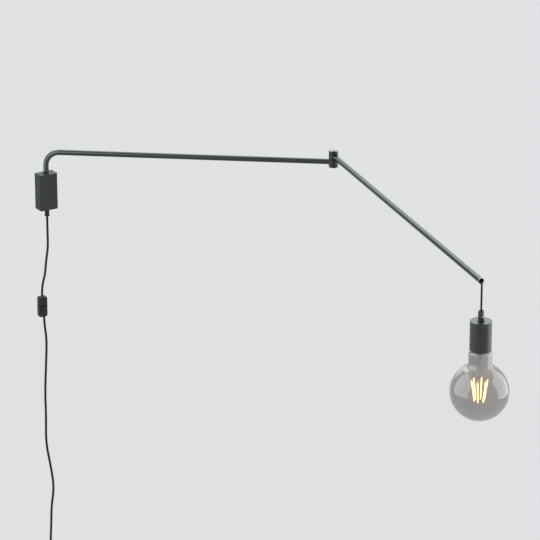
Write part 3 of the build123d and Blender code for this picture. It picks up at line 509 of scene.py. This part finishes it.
cordGland(gland)

# Arm tubes.
tubes = {"radius": 4.75, "bore": 3.75, "stubBend": 24.0, "innerHeight": 71.1, "outerHeight": 81.5,
         "foot": 33.7, "cavity": 5.6, "innerLength": 500.0, "outerEnd": 648.0}


# Rings out along the path on the outside and back on the bore, so the wall is closed.
def pipeGrid(path, way):
    outside, inside = (ringsAlong(path, np.cross(way, up), tubes[side], 64) for side in ("radius", "bore"))
    return np.concatenate([outside, inside[::-1]])


def armTubes(values):
    level = values["innerHeight"]
    bent = roundedLine([(0, values["foot"], 0), (0, level, values["stubBend"]),
                        (values["innerLength"] - values["cavity"], level, 0)], steps=28, hold=1.0)
    inner = pipeGrid(inPlane(bent, swivelAxis, innerWay), innerWay)
    settle(meshPiece("armOneTube", [(inner, True)]), "inner_arm", "blackened_steel", "arm_1_tube")
    height = values["outerHeight"]
    straight = np.array([(values["cavity"], height), (values["outerEnd"], height)])
    outer = pipeGrid(inPlane(straight, elbowAxis, outerWay), outerWay)
    settle(meshPiece("armTwoTube", [(outer, True)]), "outer_arm", "blackened_steel", "arm_2_tube")


armTubes(tubes)

# Elbow: two knuckles, polished cap, screw with a hexagon socket.
elbow = {"radius": 8.0, "reach": 9.4, "cavity": 5.6, "cavityHalf": 4.4, "cavityEdge": 0.6, "skin": 0.15,
         "edge": 0.5, "rim": 0.2, "capRadius": 8.4, "capHeight": 1.8, "groove": 5.7, "grooveDepth": 0.7,
         "recess": 6.5, "recessDepth": 1.0, "gap": 0.3, "screwRadius": 2.0, "head": 4.3, "headHeight": 1.5,
         "headEdge": 0.9, "flats": 4.0, "hexRim": 1.3, "hexDepth": 1.0, "sides": 120}


# Two cups about the elbow's axis, one open upwards and one open downwards.
def elbowKnuckles(values):
    r, c, rim, edge = values["radius"], values["cavity"], values["rim"], values["edge"]
    low, high = tubes["innerHeight"], tubes["outerHeight"]
    lowTop = low + tubes["radius"] + values["skin"]
    lower = roundedLine([
        (0, low - values["reach"]), (r, low - values["reach"], edge), (r, lowTop, rim), (c, lowTop, rim),
        (c, low - values["cavityHalf"], values["cavityEdge"]), (0, low - values["cavityHalf"])])
    highFoot = high - tubes["radius"] - values["skin"]
    upper = roundedLine([
        (0, high + values["cavityHalf"]), (c, high + values["cavityHalf"], values["cavityEdge"]),
        (c, highFoot, rim),
        (r, highFoot, rim), (r, high + values["reach"], edge), (0, high + values["reach"])])
    halves = (("elbowLower", lower, "inner_arm", "elbow_lower"),
              ("elbowUpper", upper, "outer_arm", "elbow_upper"))
    for name, profile, body, node in halves:
        piece = meshPiece(name, [(turned(profile, (*elbowAxis, 0.0)), False)])
        settle(piece, body, "matte_black_paint", node)


# The cap is a turned ring. The rows of the screw's socket are hexagons: at each angle their radius is
# half the flats over the cosine of the angle to the nearest flat's middle, times the row's share.
def elbowTop(values):
    under = tubes["outerHeight"] + values["reach"] + values["gap"]
    top = under + values["capHeight"]
    seat, shaft = top - values["grooveDepth"], values["screwRadius"]
    cap = roundedLine([
        (shaft, under + values["recessDepth"]), (values["recess"], under + values["recessDepth"], 0.2),
        (values["recess"], under, 0.1), (values["capRadius"], under, 0.3), (values["capRadius"], top, 0.75),
        (values["groove"], top, 0.3), (values["groove"], seat, 0.15), (shaft, seat),
    ], closed=True, steps=10, hold=0.1)
    origin = (*elbowAxis, 0.0)
    settle(meshPiece("elbowCap", [(turned(cap, origin, around=128), True)]),
           "outer_arm", "polished_chrome", "elbow_cap")
    crown, head, foot = seat + values["headHeight"], values["head"], span("elbow_screw")[0][2]
    half = values["flats"] / 2
    outside = roundedLine([
        (0, foot), (shaft, foot, 0.3), (shaft, seat), (head, seat, 0.1),
        (head, seat + values["headEdge"], 0.35), (head - values["headEdge"], crown, 0.7),
        (half * values["hexRim"], crown)], steps=8, hold=0.1)
    sides = values["sides"]
    grid = turned(outside, origin, around=sides)
    angle = np.linspace(0, 2 * pi, sides, endpoint=False)
    flatRadius = half / np.cos((angle + pi / 6) % (pi / 3) - pi / 6)
    floor = crown - values["hexDepth"]
    socket = [(1.04, crown), (1.0, crown - 0.06), (1.0, floor + 0.04), (0.97, floor), (0.0, floor - 0.15)]
    rows = [np.array(origin) + np.stack([
        share * flatRadius * np.cos(angle), share * flatRadius * np.sin(angle), np.full(sides, height)], 1)
        for share, height in socket]
    screw = np.concatenate([grid, np.stack(rows)])
    settle(meshPiece("elbowScrew", [(screw, False)]), "inner_arm", "machined_steel", "elbow_screw")


elbowKnuckles(elbow)
elbowTop(elbow)

# Tip bush and the flex that rolls over it.
tip = {"end": 650.0, "lip": 1.4, "bore": 3.2, "sleeve": 9.0, "flange": 4.95, "flangeWidth": 2.0, "edge": 0.3}
flex = {"radius": 1.6, "gap": 0.3, "leadStart": 3.9, "dropStart": 590.0, "dropBend": 300.0, "dropEnd": 630.0,
        "levelBend": 200.0, "joint": 641.0, "bottom": 29.4, "bendFrom": 0.0785, "bendTo": 0.0695}


# Turned about the arm's axis: sleeve, flange, and a lip whose radius is its wall.
def tipBush(values):
    bore, lip, flange, edge = values["bore"], values["lip"], values["flange"], values["edge"]
    start, seat = -values["sleeve"], -values["flangeWidth"]
    profile = roundedLine([
        (bore, start), (tubes["bore"], start, 0.15), (tubes["bore"], seat),
        (flange, seat, 0.1), (flange, 0.0, edge), (bore, 0.0, lip - 0.02),
    ], closed=True, steps=14, hold=0.15)
    origin = inPlane(np.array([[values["end"], tubes["outerHeight"]]]), elbowAxis, outerWay)[0]
    piece = meshPiece("tipBush", [(turned(profile, origin, outerWay), True)])
    return settle(piece, "outer_arm", "polished_chrome", "tip_bush")


# The lead lies in the arm. The free flex leaves the bush, turns down over its lip in a quarter circle
# and hangs straight into the grip.
def pendantFlex(values):
    reach = values["radius"] + values["gap"] + tip["lip"]
    low = tubes["outerHeight"] - tip["bore"] - tip["lip"] + reach
    over, sideways = tip["end"] - tip["lip"] + reach, np.cross(outerWay, up)
    height = tubes["outerHeight"]
    inside = roundedLine([
        (values["leadStart"], height, 0), (values["dropStart"], height, values["dropBend"]),
        (values["dropEnd"], low, values["levelBend"]), (values["joint"], low, 0)], steps=10, hold=1.0)
    lead = ringsAlong(inPlane(inside, elbowAxis, outerWay), sideways, values["radius"], 24)
    settle(meshPiece("armTwoLead", [(capped(lead), False)]), "outer_arm", "black_cord_jacket", "arm_2_lead")
    free = roundedLine([
        (values["joint"], low, 0), (over, low, reach), (over, values["bottom"], 0)], steps=16, hold=1.5)
    path = inPlane(free, elbowAxis, outerWay)
    rows = ringsAlong(path, sideways, values["radius"], 32)
    piece = meshPiece("pendantFlex", [(capped(rows), False)])
    settle(piece, None, "black_cord_jacket", "pendant_flex")
    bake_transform(piece)


tipBush(tip)
pendantFlex(flex)

# Lamp holder.
holder = {"radius": 17.5, "wall": 1.2, "topWall": 1.6, "hole": 4.8, "topEdge": 0.7, "bottomEdge": 0.9}


# A turned cup, open downwards, with a hole for the grip.
def holderShell(values):
    (_, _, bottom), (_, _, top) = span("holder_shell")
    inner, ceiling = values["radius"] - values["wall"], top - values["topWall"]
    profile = roundedLine([
        (values["hole"], ceiling), (inner, ceiling, 0.8), (inner, bottom, 0.15),
        (values["radius"], bottom, values["bottomEdge"]), (values["radius"], top, values["topEdge"]),
        (values["hole"], top, 0.1)], closed=True, steps=8)
    piece = meshPiece("holderShell", [(turned(profile, (*pendantAxis, 0.0), around=160), True)])
    return settle(piece, "lamp_holder", "satin_black_holder", "holder_shell")


holderShell(holder)

# Bulb.
bulb = {"globe": 47.5, "wall": 0.9, "neck": 18.8, "fillet": 9.0, "throat": 11.7, "capRim": -31.3,
        "shoulder": -37.3, "shoulderLift": 1.4, "throatTop": -25.3, "globeZ": -102.8}
stem = {"radius": 5.2, "wall": 0.9, "top": -31.8, "end": -69.8, "tip": -76.8, "tipRadius": 1.3,
        "draw": 0.7, "drawHeight": 2.2, "flareWidth": 2.0, "tipWall": 2.4}
bars = {"count": 6, "radius": 0.85, "topRing": 13.0, "bottomRing": 8.2, "top": -84.8, "bottom": -118.4,
        "turn": 12.6}


def arc(centre, radius, begin, end, steps):
    angle = np.linspace(begin, end, steps)
    return np.stack([centre[0] + radius * np.cos(angle), centre[1] + radius * np.sin(angle)], 1)


# One side of the glass from its lowest point: a globe's arc, a fillet whose centre is a neck radius
# and a fillet radius out, the neck, then a cubic Bezier shoulder into the throat.
def glassLine(values, inset):
    centreR = values["neck"] + values["fillet"]
    centreZ = values["globeZ"] + sqrt((values["globe"] + values["fillet"]) ** 2 - centreR ** 2)
    touch = atan2(values["globeZ"] - centreZ, -centreR)
    globe = arc((0, values["globeZ"]), values["globe"] - inset, -pi / 2, touch + pi, 64)
    fillet = arc((centreR, centreZ), values["fillet"] + inset, touch + 2 * pi, pi, 14)[1:]
    neck, throat = values["neck"] - inset, values["throat"] - inset
    turnIn = values["capRim"] - values["shoulderLift"] - inset
    ends = np.array([(neck, values["shoulder"]), (neck, turnIn), (throat, turnIn),
                     (throat, values["capRim"] + 0.6)])
    t = np.linspace(0, 1, 15)[:, None]
    shoulder = ((1 - t) ** 3 * ends[0] + 3 * t * (1 - t) ** 2 * ends[1]
                + 3 * t * t * (1 - t) * ends[2] + t ** 3 * ends[3])
    globe[0, 0] = 0.0
    return np.concatenate([globe, fillet, shoulder, [(throat, values["throatTop"])]])


def bulbGlass(values):
    outside, inside = glassLine(values, 0.0), glassLine(values, values["wall"])
    profile = np.concatenate([outside, inside[::-1]])
    piece = meshPiece("bulbGlass", [(turned(profile, (*pendantAxis, 0.0), around=160), False)], sharp=80)
    return settle(piece, "bulb", "smoked_glass", "bulb_glass")


# A glass tube turned with its flare at the top, drawn in and pinched shut below.
def bulbStem(values):
    flare, inner = bulb["throat"] - bulb["wall"], values["radius"] - values["wall"]
    profile = roundedLine([
        (0, values["tip"]), (values["tipRadius"], values["tip"], 0.5),
        (values["radius"] - values["draw"], values["end"] - values["drawHeight"], 2.0),
        (values["radius"], values["end"], 3.0), (values["radius"], values["top"], 4.5),
        (flare, bulb["throatTop"] - values["wall"], 0.6), (flare, bulb["throatTop"], 0.3),
        (flare - values["flareWidth"], bulb["throatTop"], 0.3), (inner, values["top"], 4.0),
        (inner, values["end"] - 1.0, 2.0),
        (0, values["tip"] + values["tipWall"])], steps=10)
    piece = meshPiece("bulbStem", [(turned(profile, (*pendantAxis, 0.0), around=64), False)], sharp=60)
    return settle(piece, "bulb", "clear_stem_glass", "bulb_stem")


# Six straight bars with round ends: radius * sqrt(1 - share squared), where the share is the distance
# past the end over the radius.
def filamentBars(values):
    grids = []
    quarter = np.linspace(0, pi / 2, 7)
    shares = np.concatenate([-np.cos(quarter), np.sin(quarter)])
    for k in range(values["count"]):
        angle = radians(values["turn"]) + 2 * pi * k / values["count"]
        way = np.array([cos(angle), sin(angle), 0.0])
        top = np.append(pendantAxis, 0.0) + way * values["topRing"] + up * values["top"]
        bottom = np.append(pendantAxis, 0.0) + way * values["bottomRing"] + up * values["bottom"]
        along = (top - bottom) / np.linalg.norm(top - bottom)
        path = np.repeat([bottom, top], len(quarter), axis=0) + along * (shares * values["radius"])[:, None]
        radius = values["radius"] * np.sqrt(np.clip(1 - shares ** 2, 0, 1))
        sideways = np.cross(up, way)
        grids.append((ringsAlong(path, sideways, radius, 20), False))
    return settle(meshPiece("filamentBars", grids), "bulb", "filament_phosphor", "filaments")


bulbGlass(bulb)
bulbStem(stem)
filamentBars(bars)
print("bulb made")

# Tie and plug.
tie = {"width": 8.0, "thick": 1.2, "corner": 2.6, "edge": 0.45}
plug = {"wide": 35.3, "thick": 13.7, "neckWide": 15.0, "neckThick": 11.0, "corner": 5.0,
        "growOver": 0.5, "edge": 1.2, "edgeFrom": 0.965, "edgeOver": 0.035, "shoulder": 1.4,
        "shoulderOver": 0.04, "relief": 15.0, "reliefRadius": 2.6, "collar": 4.4, "ribs": 4, "ribPitch": 3.2,
        "ribStep": 0.35, "firstRib": 1.5}
plugShares = (0, 0.006, 0.02, 0.05, 0.1, 0.16, 0.22, 0.28, 0.34, 0.4, 0.46, 0.52, 0.7, 0.94, 0.975, 0.993,
              1.0)


# A band whose rounded section is carried round a rounded rectangle in the XZ plane.
def coilTie(values):
    low, high = span("coil_tie")
    middle, half = (low + high) / 2, (high - low) / 2 - values["thick"] / 2
    loop = roundedRectangle(half[0], half[2], values["corner"], steps=10)
    path = np.stack([middle[0] + loop[:, 0], np.full(len(loop), middle[1]), middle[2] + loop[:, 1]], 1)
    step = np.roll(path, -1, 0) - np.roll(path, 1, 0)
    tangent = step / np.linalg.norm(step, axis=1)[:, None]
    across = np.array([0.0, 1.0, 0.0])
    outward = np.cross(across, tangent)
    section = roundedRectangle(values["thick"] / 2, values["width"] / 2, values["edge"], steps=5)
    grid = path[:, None] + section[None, :, :1] * outward[:, None] + section[None, :, 1:] * across
    return settle(meshPiece("coilTie", [(grid, True)]), "root", "tie_rubber", "coil_tie")


# What a quarter circle takes off: depth * (1 - sqrt(1 - share squared)).
def roundedOff(share, depth):
    return depth * (1 - np.sqrt(1 - np.clip(share, 0, 1) ** 2))


# Rounded rectangles stacked along Z: both sides grow from the neck to full size by grow * (2 - grow)
# over the first half of the length. The ribbed strain relief above them is turned.
def plugBody(values):
    low, high = span("plug_body")
    face, (x, y) = low[2], axisOf("plug_lead")
    top = high[2]
    body = top - values["relief"]
    share = np.array(plugShares)
    grow = np.clip(share / values["growOver"], 0, 1)
    grow = grow * (2 - grow)
    edge = roundedOff((share - values["edgeFrom"]) / values["edgeOver"], values["edge"])
    shoulder = roundedOff(1 - share / values["shoulderOver"], values["shoulder"])
    halfWide, halfThick = (
        (values[neck] + (values[full] - values[neck]) * grow) / 2 - edge - shoulder
        for neck, full in (("neckWide", "wide"), ("neckThick", "thick")))
    rows = []
    for height, wide, thick in zip(body + (face - body) * share, halfWide, halfThick):
        outline = roundedRectangle(thick, wide, min(values["corner"], 0.9 * thick), steps=8)
        rows.append(np.column_stack([outline + (x, y), np.full(len(outline), height)]))
    count, collar = min(len(row) for row in rows), values["collar"]
    grid = capped(np.stack([row[:count] for row in rows])[::-1])
    ribs = [(0, body - 2.0), (collar, body - 2.0), (collar, body + 0.3, 0.4)]
    for k in range(values["ribs"] - 1, -1, -1):
        z = top - values["firstRib"] - values["ribPitch"] * k
        wide = values["reliefRadius"] + values["ribStep"] * k
        ribs += [(wide, z - 2.2, 0.3), (wide, z - 1.2, 0.2), (wide + 0.6, z - 1.0, 0.3), (wide + 0.3, z, 0.3)]
    ribs += [(values["reliefRadius"], top, 0.3), (0, top)]
    relief = turned(roundedLine(ribs, steps=4, hold=0.1), (x, y, 0.0), around=48)
    piece = meshPiece("plugBody", [(grid, False), (relief, False)])
    return settle(piece, "root", "black_moulded_plastic", "plug_body")


tiePiece = coilTie(tie)
plugPiece = plugBody(plug)
print("plug and tie made")

# Stage: pale floor, pale surroundings, soft boxes.
stage = {"floorDrop": 0.02, "floorRings": (0.0, 1.0, 4.0, 16.0, 90.0), "floorColour": (0.6, 0.608, 0.615),
         "floorDark": 0.98, "floorPatch": 1.2, "floorRough": 0.9, "floorGlow": 0.42,
         "world": (0.78, 0.79, 0.8), "worldLight": 0.42}
key = {"from": (0.62, 0.22, 0.75), "spread": 35.0, "strength": 2.1}
coolWhite = (0.92, 1.0, 1.03)
# Each has its place, what it faces, its width, height and radiance.
softBoxes = {
    "backPanel": ((-1.3, 0.85, 0.55), (0.5, 0.3, 0.07), 2.2, 0.95, 1.5),
    "highPanel": ((-0.5, 0.7, 1.35), (0.16, 0.2, 0.07), 2.2, 1.3, 3.2),
    "window": ((1.45, 1.8, 0.3), (0.95, 0.28, -0.05), 2.2, 2.2, 2.4),
    "leftPanel": ((0.45, -1.0, 0.6), (0.948, 0.282, 0.3), 2.2, 2.2, 2.0),
}


# One factor for the rays that see the surroundings: camera, glossy and transmission rays.
def raysThatSee(tree):
    rays = tree.nodes.new("ShaderNodeLightPath")
    seen = rays.outputs["Is Camera Ray"]
    for ray in ("Is Glossy Ray", "Is Transmission Ray"):
        either = tree.nodes.new("ShaderNodeMath")
        either.operation = "MAXIMUM"
        tree.links.new(seen, either.inputs[0])
        tree.links.new(rays.outputs[ray], either.inputs[1])
        seen = either.outputs["Value"]
    return seen


# The factor stretched from low to high.
def strengthOf(tree, seen, low, high):
    strength = tree.nodes.new("ShaderNodeMapRange")
    strength.inputs["To Min"].default_value = low
    strength.inputs["To Max"].default_value = high
    tree.links.new(seen, strength.inputs["Value"])
    return strength.outputs["Result"]


# A wide disc under the object. Its own pale glow is for the rays that see it, so it keeps the shadow.
def paleFloor(values):
    height = cadBox[0][2] - values["floorDrop"]
    angle = np.linspace(0, 2 * pi, 96, endpoint=False)
    radius = np.array(values["floorRings"])[:, None]
    level = np.full((len(radius), len(angle)), height)
    grid = np.stack([radius * np.cos(angle), radius * np.sin(angle), level], -1)[::-1]
    floor = meshPiece("floor", [(grid / mm, False)])
    tree, shader, place = newFinish("paleFloor")
    light = values["floorColour"]
    dark = [values["floorDark"] * value for value in light]
    patches = noise(tree, place, values["floorPatch"])
    glow = strengthOf(tree, raysThatSee(tree), 0.0, values["floorGlow"])
    tree.links.new(twoColours(tree, patches, dark, light), shader.inputs["Base Color"])
    tree.links.new(glow, shader.inputs["Emission Strength"])
    setSockets(shader, {"Roughness": values["floorRough"], "Specular IOR Level": 0.0,
                        "Emission Color": (*light, 1.0)})
    floor.data.materials.append(finishes["paleFloor"])


# The rays that see the surroundings find them pale, and other rays get a lower plain light.
def paleWorld(values):
    world = bpy.data.worlds.new("surroundings")
    bpy.context.scene.world = world
    world.use_nodes = True
    tree = world.node_tree
    background = tree.nodes["Background"]
    background.inputs["Color"].default_value = (*values["world"], 1.0)
    strength = strengthOf(tree, raysThatSee(tree), values["worldLight"], 1.0)
    tree.links.new(strength, background.inputs["Strength"])


# A soft sun lights every surface alike, near and far, and leaves no spot in the gloss.
def placeKey(values):
    light = bpy.data.lights.new("key", "SUN")
    light.angle, light.energy = radians(values["spread"]), values["strength"]
    lamp = bpy.data.objects.new("key", light)
    lamp.rotation_euler = Vector(values["from"]).to_track_quat("Z", "Y").to_euler()
    lamp.visible_glossy = lamp.visible_transmission = False
    bpy.context.scene.collection.objects.link(lamp)


# Panels that only reflections show. Watts are radiance * pi * area.
def placeSoftBoxes(boxes):
    for name, (place, aim, width, height, radiance) in boxes.items():
        light = bpy.data.lights.new(name, "AREA")
        light.shape = "RECTANGLE"
        light.size, light.size_y, light.energy = width, height, radiance * pi * width * height
        light.color = coolWhite
        lamp = bpy.data.objects.new(name, light)
        lamp.location = place
        lamp.rotation_euler = (Vector(place) - Vector(aim)).to_track_quat("Z", "Y").to_euler()
        lamp.visible_camera = lamp.visible_diffuse = lamp.visible_transmission = False
        bpy.context.scene.collection.objects.link(lamp)


paleFloor(stage)
paleWorld(stage)
placeKey(key)
placeSoftBoxes(softBoxes)
bpy.context.scene.view_settings.view_transform = "Standard"
print("stage made")
